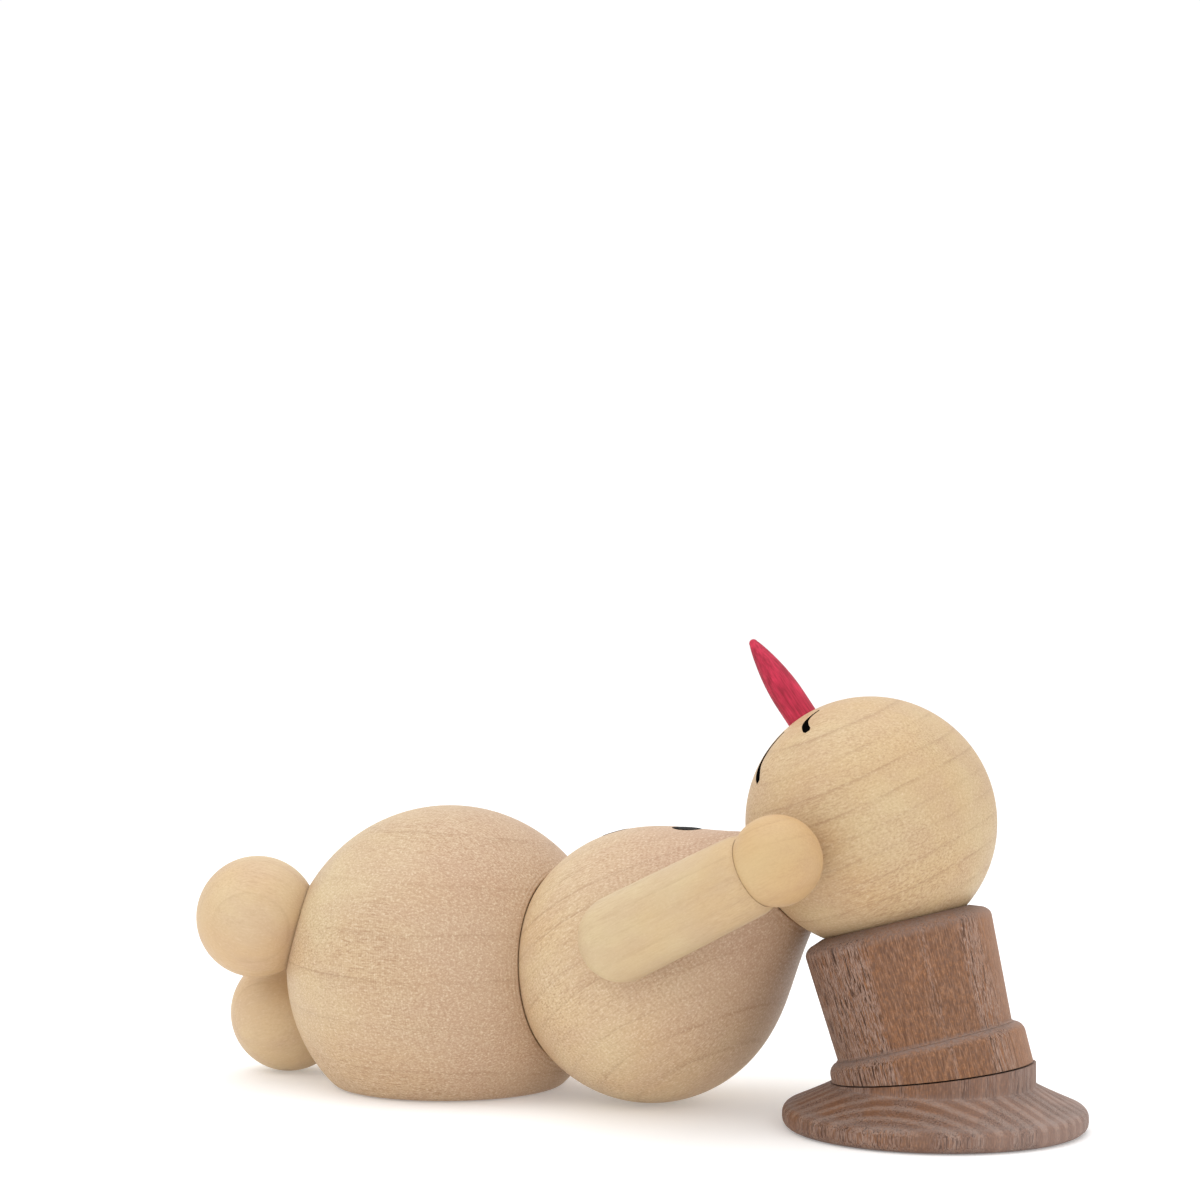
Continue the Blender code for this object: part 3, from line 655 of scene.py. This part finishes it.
def make_torso():
    reach = (HEAD - TORSO).length
    seat = HEAD_RADIUS + SEAT_GAP
    low, high = 8.0, 40.0  # degrees off the neck axis, closing in on the neck's rim
    while high - low > 1e-6:
        angle = (low + high) / 2
        turn = math.radians(angle)
        radius = torso_radius(angle)
        rim = (radius * math.sin(turn), radius * math.cos(turn))
        if math.dist(rim, (0.0, reach)) < seat:
            low = angle
        else:
            high = angle
    outside = []
    rows = 150
    for i in range(rows + 1):
        angle = high + (180.0 - high) * i / rows
        radius = torso_radius(angle)
        turn = math.radians(angle)
        outside.append((max(0.0, radius * math.sin(turn)), radius * math.cos(turn)))
    outside[-1] = (0.0, -TORSO_RADIUS)
    profile = [(0.0, 1 * MM), (NECK_BORE, 1 * MM)]
    profile += soft_corner(cup_arc(reach, seat, NECK_BORE, rim), outside, RIM_WIDTH)
    piece = turned("torso_turned", profile, TORSO, NECK, BODY_STEPS)
    cutters = [
        flare("cut_flare", TORSO, -WAIST, 31 * MM, 17.0),
        ball("cut_chamber", TORSO, CHAMBER_RADIUS, NECK, CHAMBER_STEPS),
    ]
    for side in ("left", "right"):
        shoulder, root, outward = shoulder_line(side)
        cutters.append(ball("cut_arm_seat", shoulder, ARM_SEAT_RADIUS, outward, FINE_STEPS))
        cutters.append(rod("cut_hole", root, outward, DOWEL_HOLE, *SHOULDER_IN_TORSO))
    for button in ("upper_button", "lower_button"):
        point, normal = button_face(button)
        cutters.append(rod("cut_button", point, normal, BUTTON_RADIUS + RECESS_GAP,
                           -BUTTON_THICKNESS - GAP, RECESS_TOP, FINE_STEPS))
    cut(piece, *cutters)
    up = NECK.cross(Vector((0, 1, 0))) * -1
    middle_run = TORSO.dot(NECK) / MM
    mat = maple("maple_torso", TORSO, NECK + Vector((0, 0, -0.03)), up + Vector((0, -0.10, 0)), 2.0,
                pith=300.0, spacing=4.8, ring=0.50, lathe=(NECK, 0.9, 0.14, middle_run + 34),
                rosy=(NECK, middle_run - 6, middle_run + 26, 0.9), fleck_share=0.6, stipple_share=0.6)
    finish_piece(piece, "torso", "torso", mat)


def torso_point(direction):
    """Point on the torso's surface, in a direction from its middle."""
    return TORSO + direction * torso_radius(math.degrees(direction.angle(NECK)))


def button_face(button):
    """Point on the torso's surface at a button's middle, and the surface's normal there."""
    direction = (middle(button) - TORSO).normalized()
    hinge = NECK.cross(direction).normalized()
    nudge = Matrix.Rotation(math.radians(0.5), 3, hinge)
    slope = torso_point(nudge @ direction) - torso_point(nudge.inverted() @ direction)
    return torso_point(direction), slope.cross(hinge).normalized()


def make_buttons():
    mat = painted("black_button", srgb(8, 7, 7), srgb(20, 17, 16), 0.5, NECK, TORSO, 21.0, 0.3, 0.05)
    for button in ("upper_button", "lower_button"):
        point, normal = button_face(button)
        high = -BUTTON_SINK
        edge = BUTTON_EDGE
        crown = [(BUTTON_RADIUS - edge + edge * math.sin(a), high - edge + edge * math.cos(a))
                 for a in np.radians((0, 30, 60, 90))]
        dome = [(0.0, high + 0.06 * MM), (1.2 * MM, high + 0.05 * MM), (2.2 * MM, high + 0.02 * MM)]
        profile = dome + crown + [(BUTTON_RADIUS, -BUTTON_THICKNESS), (0.0, -BUTTON_THICKNESS)]
        piece = turned(button + "_disc", profile, point, normal, FINE_STEPS)
        piece.data.set_sharp_from_angle(angle=math.radians(40))
        finish_piece(piece, button, "torso", mat)


def make_head():
    piece = ball("head_turned", HEAD, HEAD_RADIUS, NECK, HEAD_STEPS)
    cut(
        piece,
        flare("cut_flare", HEAD, Matrix.Rotation(math.radians(7.5), 3, "Y") @ -NECK, 28 * MM, 8.0),
        ball("cut_chamber", HEAD, CHAMBER_RADIUS, NECK, CHAMBER_STEPS),
        rod("cut_socket", HEAD, NOSE, NOSE_SOCKET_RADIUS, *NOSE_SOCKET, FINE_STEPS),
        rod("cut_disc", HEAD, -CROWN_AXIS, DISC_HOLE, *DISC_SOCKET, FINE_STEPS),
    )
    mat = maple("maple_head", HEAD, Vector((0.92, 0, 0.34)), Vector((-0.353, -0.188, 1.0)), 3.0,
                pith=300.0, spacing=4.6, ring=0.44, fleck_share=0.55, tone=(0.92, 0.89, 0.84))
    finish_piece(piece, "head", "head", mat)


def make_nose():
    length = (NOSE_TIP - HEAD).length - HEAD_RADIUS
    tip = NOSE_TIP_RADIUS
    taper = 0.74  # share of the length over which the nose widens
    rows = 48
    profile = [(0.0, HEAD_RADIUS + length)]
    for i in range(1, 7):
        turn = math.radians(15 * i)
        profile.append((tip * math.sin(turn), HEAD_RADIUS + length - tip + tip * math.cos(turn)))
    for i in range(1, rows + 1):
        share = i / rows
        wide = tip + (NOSE_RADIUS - tip) * math.sin(min(1.0, share / taper) * math.pi / 2) ** 0.85
        profile.append((wide, HEAD_RADIUS + (length - tip) * (1 - share)))
    profile += [(NOSE_RADIUS, HEAD_RADIUS - NOSE_TENON), (0.0, HEAD_RADIUS - NOSE_TENON)]
    piece = turned("nose_turned", profile, HEAD, NOSE, FINE_STEPS)
    piece.data.set_sharp_from_angle(angle=math.radians(50))
    mat = painted("crimson_nose", srgb(212, 42, 78), srgb(118, 4, 30), 0.45, NOSE, HEAD, 31.0, 0.8)
    finish_piece(piece, "nose", "head", mat)


def make_arm(side, seed):
    shoulder, root, outward = shoulder_line(side)
    hand = joint_at(side + "_hand_spin")
    along = (hand - shoulder).normalized()
    reach = (hand - shoulder).length
    wrist = WRIST_RADIUS
    end = reach - ARM_END_GAP
    edge = WRIST_EDGE
    profile = [(0.0, end), (wrist - edge, end)]
    profile += [(wrist - edge + edge * math.sin(a), end - edge + edge * math.cos(a))
                for a in np.radians(range(6, 91, 6))]
    rows = 30
    for i in range(1, rows):
        share = i / rows
        profile.append((wrist + (ARM_RADIUS - wrist) * share**0.8, (end - edge) * (1 - share)))
    profile += arc(ARM_RADIUS, 90, 180, 36)
    profile[-1] = (0.0, -ARM_RADIUS)
    piece = turned(side + "_arm_turned", profile, shoulder, along, ARM_STEPS)
    cut(
        piece,
        ball("cut_hand", hand, HAND_RADIUS + WRIST_GAP, along, 160),
        rod("cut_shoulder", root, outward, DOWEL_HOLE, *SHOULDER_IN_ARM),
        rod("cut_wrist", hand, -along, WRIST_HOLE, *WRIST_IN_ARM),
    )
    up = along.cross(SIDE) * -1
    mat = maple("maple_" + side + "_arm", shoulder, along, up, seed, pith=40.0, spacing=4.2,
                ring=0.28, fleck_share=0.22, stipple_share=0.12, tone=(0.94, 0.95, 0.92))
    finish_piece(piece, side + "_arm", side + "_arm", mat)
    ball_piece = ball(side + "_hand_turned", hand, HAND_RADIUS, along, ARM_STEPS)
    cut(ball_piece, rod("cut_hand_hole", hand, -along, WRIST_HOLE, *WRIST_IN_HAND))
    mat = maple("maple_" + side + "_hand", hand, along, up, seed + 1, pith=40.0, spacing=4.4,
                ring=0.2, fleck_share=0.18, stipple_share=0.10, tone=(0.92, 0.84, 0.71))
    finish_piece(ball_piece, side + "_hand", side + "_hand", mat)


def make_foot(name, seed):
    centre = FOOT[name]
    away = (centre - LOWER).normalized()
    piece = ball(name + "_turned", centre, FOOT_RADIUS, away, FOOT_STEPS)
    cut(piece, rod("cut_hole", centre, -away, DOWEL_HOLE, *DOWEL_IN_FOOT))
    mat = maple("maple_" + name, centre, away, SIDE, seed, pith=50.0, spacing=4.6, ring=0.3,
                fleck_share=0.3, stipple_share=0.15)
    finish_piece(piece, name, name, mat)


# ---------------------------------------------------------------- the hat
def half_space(name, point, normal):
    """Large block on the side of a plane that its normal points to."""
    shape = bmesh.new()
    size = 200 * MM
    bmesh.ops.create_cube(shape, size=size)
    bmesh.ops.translate(shape, vec=(0, 0, size / 2), verts=shape.verts)
    bmesh.ops.transform(shape, matrix=aligned(point, normal), verts=shape.verts)
    return built(name, shape)


def make_brim():
    centre = middle("hat_brim")
    ground = Vector((centre.x, 0.0, 0.0))
    thick = 4.6 * MM
    rise = 8.4 * MM
    stub = 19.8 * MM
    edge = 1.9 * MM
    outer = BRIM_RADIUS - edge
    profile = [(0.0, 20 * MM), (stub, 20 * MM), (stub, rise + 0.6 * MM)]
    profile += [(stub + 0.6 * MM * (1 - math.cos(a)), rise + 0.6 * MM * (1 - math.sin(a)))
                for a in np.radians((30, 60, 90))]
    slope_rows = 24
    start = profile[-1]
    for i in range(1, slope_rows):
        share = i / slope_rows
        radius = start[0] + (outer + 0.2 * edge - start[0]) * share
        profile.append((radius, start[1] + (thick - start[1]) * share**0.9))
    profile += [(outer + edge * math.sin(a), thick - edge + edge * math.cos(a))
                for a in np.radians((15, 30, 45, 60, 75, 90))]
    profile += [(outer + edge * math.sin(a), edge + edge * math.cos(a))
                for a in np.radians((90, 110, 130, 150, 165))]
    profile += [(outer, 0.0), (0.0, 0.0)]
    piece = turned("hat_brim_turned", profile, ground, Vector((0, 0, 1)), HAT_STEPS)
    cut(
        piece,
        half_space("cut_plane", CUT_CENTRE - CUT_NORMAL * GAP / 2, CUT_NORMAL),
        rod("cut_pin", CUT_CENTRE, CUT_NORMAL, DOWEL_HOLE, *PIN_IN_BRIM),
    )
    # The grey rings at the brim's edge and stub top are partly wear and partly painted sheen.
    mat = smoked_oak("smoked_oak_brim", ground, Vector((0, 0, 1)), Vector((-0.066, 0.998, 0)), 5.0,
                     # Painted rim light: the brim's right side is made paler and greyer.
                     pith=90.0, spacing=3.3, rings=0.55, rim_light=(2.0, 27.0, 0.45, OAK_RIM_LIGHT_BRIM),
                     wear_and_sheen=(("out", 27.2, 28.8, 29.6, 0.55), ("along", 7.6, 8.6, 9.8, 0.35)))
    finish_piece(piece, "hat_brim", "hat_brim", mat)


def make_crown():
    fillet = 2.4 * MM
    band = 19.7 * MM
    band_top = 6.2 * MM
    bottom = 17.6 * MM
    top = 18.9 * MM
    side_top = 27.7 * MM
    rows = 30
    profile = [(0.0, 30.4 * MM), (14.4 * MM, 30.4 * MM), (15.3 * MM, 30.0 * MM)]
    shoulder = 3.2 * MM
    for a in np.radians(range(20, 91, 10)):
        radius = top - shoulder + shoulder * math.sin(a)
        height = side_top - 0.4 * MM + 2.3 * MM * math.cos(a)
        profile.append((radius, height))
    for i in range(1, rows + 1):
        share = i / rows
        height = side_top - 0.4 * MM + (band_top + 0.3 * MM - side_top + 0.4 * MM) * share
        profile.append((top + (bottom - top) * share, height))
    profile += [(bottom + 0.35 * MM, band_top - 0.05 * MM)]
    profile += [(band - fillet + fillet * math.sin(a), band_top - fillet + fillet * math.cos(a))
                for a in np.radians(range(0, 91, 10))]
    profile += [(band, -8 * MM), (0.0, -8 * MM)]
    magnet = middle("hat_magnet")
    base = magnet - CROWN_AXIS * (magnet - CUT_CENTRE).dot(CROWN_AXIS)
    piece = turned("hat_crown_turned", profile, base, CROWN_AXIS, HAT_STEPS)
    head_height = (HEAD - base).dot(CROWN_AXIS)
    magnet_low = head_height - HEAD_RADIUS - GAP - 3.8 * MM
    cut(
        piece,
        half_space("cut_plane", CUT_CENTRE + CUT_NORMAL * GAP / 2, -CUT_NORMAL),
        ball("cut_dish", HEAD, HEAD_RADIUS + GAP, CROWN_AXIS, DISH_STEPS),
        rod("cut_pin", CUT_CENTRE, CUT_NORMAL, DOWEL_HOLE, *PIN_IN_CROWN),
        rod("cut_magnet", base, CROWN_AXIS, DISC_HOLE, magnet_low, 40 * MM),
    )
    # The grey bands at the band's top and the crown's top rim are partly wear and partly painted
    # sheen.
    mat = smoked_oak("smoked_oak_crown", base, CROWN_AXIS, Vector((-0.47, 0.88, 0)), 6.0,
                     pith=60.0, spacing=4.2,
                     strips=((0.0, 1.0), (0.27, 1.0), (0.33, 0.12), (0.53, 0.08), (0.57, 0.6),
                             (0.60, 0.1), (0.74, 0.15), (0.78, 1.0), (0.85, 1.0), (0.90, 0.15)),
                     # Painted rim light: the crown's right edge is made paler.
                     rim_light=(9.0, 19.0, 0.35, OAK_RIM_LIGHT_CROWN),
                     wear_and_sheen=(("along", 4.6, 6.0, 7.0, 0.8), ("along", 26.6, 29.4, 34.0, 0.75)))
    finish_piece(piece, "hat_crown", "hat_crown", mat)


# ---------------------------------------------------------------- painted face marks
def on_head(sideways, upwards):
    """Direction from the head's middle, in degrees from the nose: to its left, and to its top."""
    left = Vector((0.0, -1.0, 0.0))
    up = (NECK - NOSE * NECK.dot(NOSE)).normalized()
    a, b = math.radians(sideways), math.radians(upwards)
    outward = NOSE * math.cos(a) * math.cos(b) + left * math.sin(a) * math.cos(b)
    return (outward + up * math.sin(b)).normalized()


PAINT_HEIGHT = 0.06 * MM
PAINT_DEPTH = 0.08 * MM
SMOOTHING_PASSES = 36


def brush_stroke(name, points, widths, mat):
    """Thin paint stroke on the head, along smoothly joined points given as (sideways, upwards).

    widths holds (share of the length, millimetres).
    """
    samples = 12 * (len(points) - 1)
    path = []
    spans = len(points) - 1
    for i in range(samples + 1):
        t = spans * i / samples
        k = min(int(t), spans - 1)
        f = t - k
        ends = [points[max(k - 1, 0)], points[k], points[k + 1], points[min(k + 2, spans)]]
        place = []
        for axis in (0, 1):
            p0, p1, p2, p3 = (end[axis] for end in ends)
            place.append(0.5 * (2 * p1 + (p2 - p0) * f + (2 * p0 - 5 * p1 + 4 * p2 - p3) * f * f
                                + (3 * p1 - p0 - 3 * p2 + p3) * f**3))
        path.append(on_head(*place))
    for _ in range(SMOOTHING_PASSES):
        ahead_and_behind = zip(path, path[1:], path[2:])
        path[1:-1] = [((a + 2 * b + c) / 4).normalized() for a, b, c in ahead_and_behind]
    shape = bmesh.new()
    rings = []
    across = 8
    for i, direction in enumerate(path):
        share = i / samples
        width = np.interp(share, [w[0] for w in widths], [w[1] for w in widths]) * MM
        ahead = (path[min(i + 1, samples)] - path[max(i - 1, 0)]).normalized()
        aside = direction.cross(ahead).normalized()
        ring = []
        for j in range(across + 1):
            s = 2 * j / across - 1
            lift = PAINT_HEIGHT * (1 - s * s) + 0.01 * MM
            point = direction * HEAD_RADIUS + aside * (s * width / 2)
            ring.append(shape.verts.new(HEAD + point.normalized() * (HEAD_RADIUS + lift)))
        for j in (1, 0):
            s = 2 * j - 1
            point = direction * HEAD_RADIUS + aside * (s * width / 2)
            ring.append(shape.verts.new(HEAD + point.normalized() * (HEAD_RADIUS - PAINT_DEPTH)))
        rings.append(ring)
    count = across + 3
    for ring, following in zip(rings, rings[1:]):
        for j in range(count):
            k = (j + 1) % count
            shape.faces.new((ring[j], ring[k], following[k], following[j]))
    shape.faces.new(rings[0][::-1])
    shape.faces.new(rings[-1])
    bmesh.ops.recalc_face_normals(shape, faces=shape.faces)
    piece = built(name, shape)
    piece.data.shade_smooth()
    piece.data.set_sharp_from_angle(angle=math.radians(50))
    finish_piece(piece, None, "head", mat)


def make_face():
    mat = painted("black_face_paint", srgb(5, 4, 4), srgb(10, 9, 9), 0.5, NOSE, HEAD, 41.0, 0.15, 0.0)
    eye = [(20.1, 16.3), (24.1, 13.2), (28.2, 11.0), (32.9, 10.6), (39.2, 12.1)]
    eye_widths = [(0, 0.35), (0.3, 0.7), (0.7, 1.5), (0.93, 1.7), (1, 1.0)]
    mouth = [(22.0, -3.0), (24.5, -10.5), (27.0, -16.0), (32.5, -20.8), (43.9, -21.3)]
    mouth_widths = [(0, 0.5), (0.2, 1.2), (0.5, 2.1), (0.9, 1.9), (1, 1.1)]
    for side, name in ((1.0, "left"), (-1.0, "right")):
        marks = ((eye, "_eye_paint", eye_widths), (mouth, "_mouth_paint", mouth_widths))
        for mark, kind, widths in marks:
            points = [(side * sideways, upwards) for sideways, upwards in mark]
            brush_stroke(name + kind, points, widths, mat)


# ---------------------------------------------------------------- the small pieces kept from the frame
def dress_small_pieces():
    beech = maple("beech_dowels", LOWER, WAIST, Vector((0, 0, 1)), 12.0, pith=20.0, spacing=2.0)
    plated = metal("plated_steel", srgb(196, 196, 200), 51.0)
    nickel = metal("nickel_plate", srgb(206, 202, 192), 52.0)
    dressed = {"waist_anchor": beech, "head_disc": plated, "hat_swivel_pin": plated,
               "hat_magnet": nickel,
               "waist_cord": braided("elastic_waist", WAIST, TORSO),
               "neck_cord": braided("elastic_neck", NECK, HEAD)}
    for side in ("left", "right"):
        for kind in ("_shoulder_dowel", "_wrist_dowel", "_foot_dowel"):
            dressed[side + kind] = beech
    for name, mat in dressed.items():
        node = frame["nodes"][name]
        node.data.materials.clear()
        node.data.materials.append(mat)


# ---------------------------------------------------------------- the studio
FLOOR_GAP = 0.0001  # metres the floor lies below the part, so their faces don't coincide


def make_studio():
    scene = bpy.context.scene
    scene.view_settings.view_transform = "Standard"
    world = bpy.data.worlds.new("studio")
    world.use_nodes = True
    back = world.node_tree.nodes["Background"]
    back.inputs["Color"].default_value = (1.0, 1.0, 1.0, 1.0)
    back.inputs["Strength"].default_value = 1.02
    scene.world = world
    shape = bmesh.new()
    bmesh.ops.create_circle(shape, cap_ends=True, radius=6.0, segments=96)
    floor = built("floor", shape)
    floor.location.z = -FLOOR_GAP
    t = Tree("pale_floor")
    texture = t.nodes.new("ShaderNodeTexCoord")
    speck = t.noise(texture.outputs["Object"], 60.0, 2.0)
    t.put(t.shader.inputs["Base Color"], t.mix(speck, (0.85, 0.85, 0.85), (0.86, 0.86, 0.86)))
    t.shader.inputs["Emission Color"].default_value = (1.0, 1.0, 1.0, 1.0)
    t.shader.inputs["Emission Strength"].default_value = 0.22
    t.shader.inputs["Roughness"].default_value = 0.9
    t.shader.inputs["Specular IOR Level"].default_value = 0.1
    floor.data.materials.append(t.mat)
    lights = [
        ("key", (-0.50, -0.65, 0.95), 0.7, 1.5),
        ("top", (-0.05, 0.05, 1.1), 1.2, 4.4),
        ("fill", (0.95, -0.55, 0.45), 0.8, 0.9),
    ]
    for name, place, size, power in lights:
        data = bpy.data.lights.new(name, "AREA")
        data.shape = "DISK"
        data.size = size
        data.energy = power
        light = bpy.data.objects.new(name, data)
        scene.collection.objects.link(light)
        light.location = place
        aim = Vector((0.0, 0.0, 0.03)) - Vector(place)
        light.rotation_mode = "QUATERNION"
        light.rotation_quaternion = aim.to_track_quat("-Z", "Y")


CAMERA_PLACE = (0.27148, -0.5223, 0.10018)
CAMERA_AZIMUTH = math.radians(28.09)
CAMERA_PITCH = math.radians(0.37)


def make_camera():
    data = bpy.data.cameras.new("photo_camera")
    data.sensor_width = 36.0
    data.lens = 84.7
    data.clip_start = 0.01
    data.clip_end = 50.0
    camera = bpy.data.objects.new("photo_camera", data)
    bpy.context.scene.collection.objects.link(camera)
    camera.location = CAMERA_PLACE
    level = math.cos(CAMERA_PITCH)
    look = Vector((-math.sin(CAMERA_AZIMUTH) * level, math.cos(CAMERA_AZIMUTH) * level,
                   math.sin(CAMERA_PITCH)))
    camera.rotation_mode = "QUATERNION"
    camera.rotation_quaternion = look.to_track_quat("-Z", "Y")
    bpy.context.scene.camera = camera


make_camera()
make_studio()
make_lower_body()
make_torso()
make_buttons()
make_head()
make_nose()
make_arm("left", 14.0)
make_arm("right", 17.0)
make_foot("left_foot", 20.0)
make_foot("right_foot", 23.0)
make_brim()
make_crown()
make_face()
dress_small_pieces()
